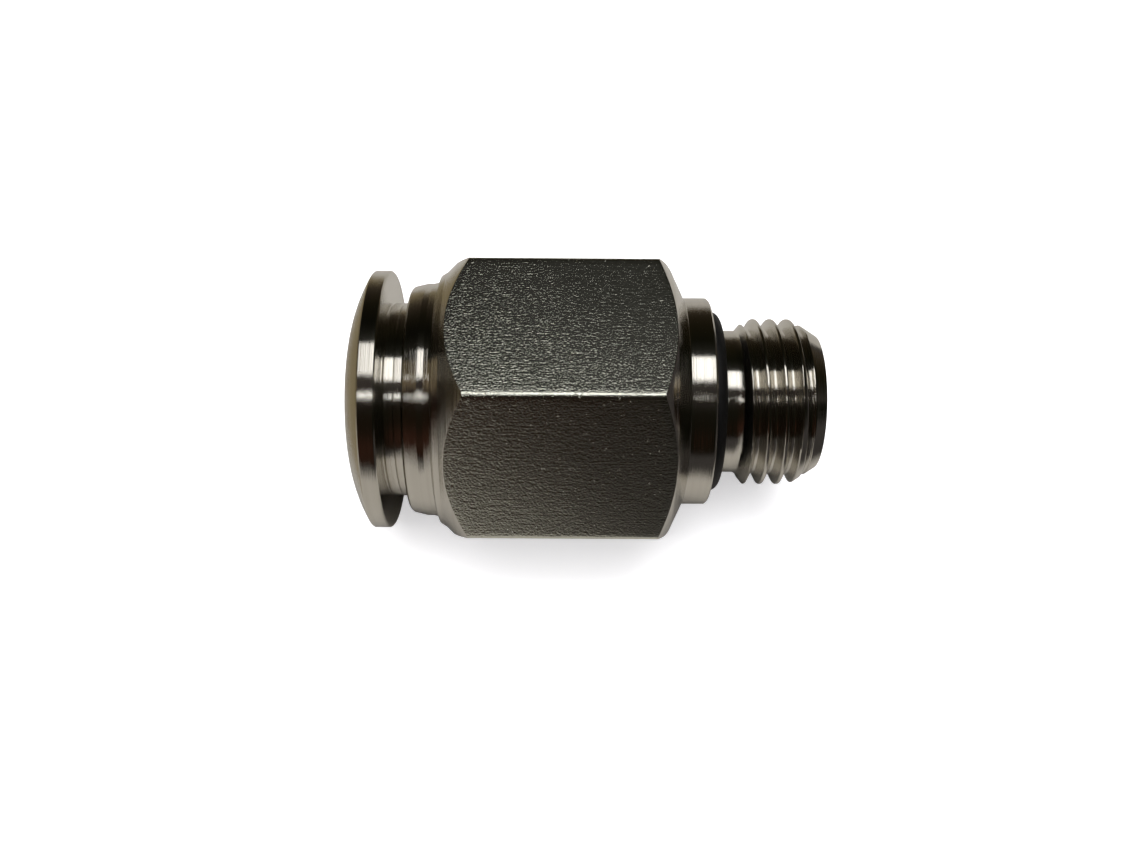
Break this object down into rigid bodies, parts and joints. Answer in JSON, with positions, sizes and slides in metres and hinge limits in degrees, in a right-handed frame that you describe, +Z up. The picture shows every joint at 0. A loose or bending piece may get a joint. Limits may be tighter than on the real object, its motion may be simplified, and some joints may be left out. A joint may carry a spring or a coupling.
{
  "type": "straight tube fitting",
  "caption": "Straight push-in tube fitting: hexagon body, release button at the tube end, parallel male thread with a captive seal ring at the other.",
  "frame": {"origin": "centre of the collar's sealing face, on the fitting's axis", "axes": "+X along the axis from the tube end to the thread, +Z up; the fitting lies on the hexagon flat that faces -Z"},
  "size_m": [0.0362, 0.024, 0.021],
  "materials": {
    "body_plating": "bright nickel plate",
    "button_plating": "bright nickel plate",
    "bush_brass": "turned",
    "grip_steel": "pressed spring steel",
    "backing_brass": "turned",
    "tube_seal_rubber": "satin",
    "port_seal_rubber": "satin"
  },
  "bodies": {
    "fitting": {"fitting_body": "body_plating", "guide_bush": "bush_brass", "grip_ring": "grip_steel", "backing_ring": "backing_brass", "tube_seal": "tube_seal_rubber", "port_seal": "port_seal_rubber"},
    "button": {"release_button": "button_plating"}
  },
  "joints": [
    {"name": "button_slide", "type": "slide", "parent": "fitting", "child": "button", "axis": [1, 0, 0], "range_m": [0, 0.0012], "stiffness_N_per_m": 4000, "deforming": ["grip_ring"]}
  ]
}
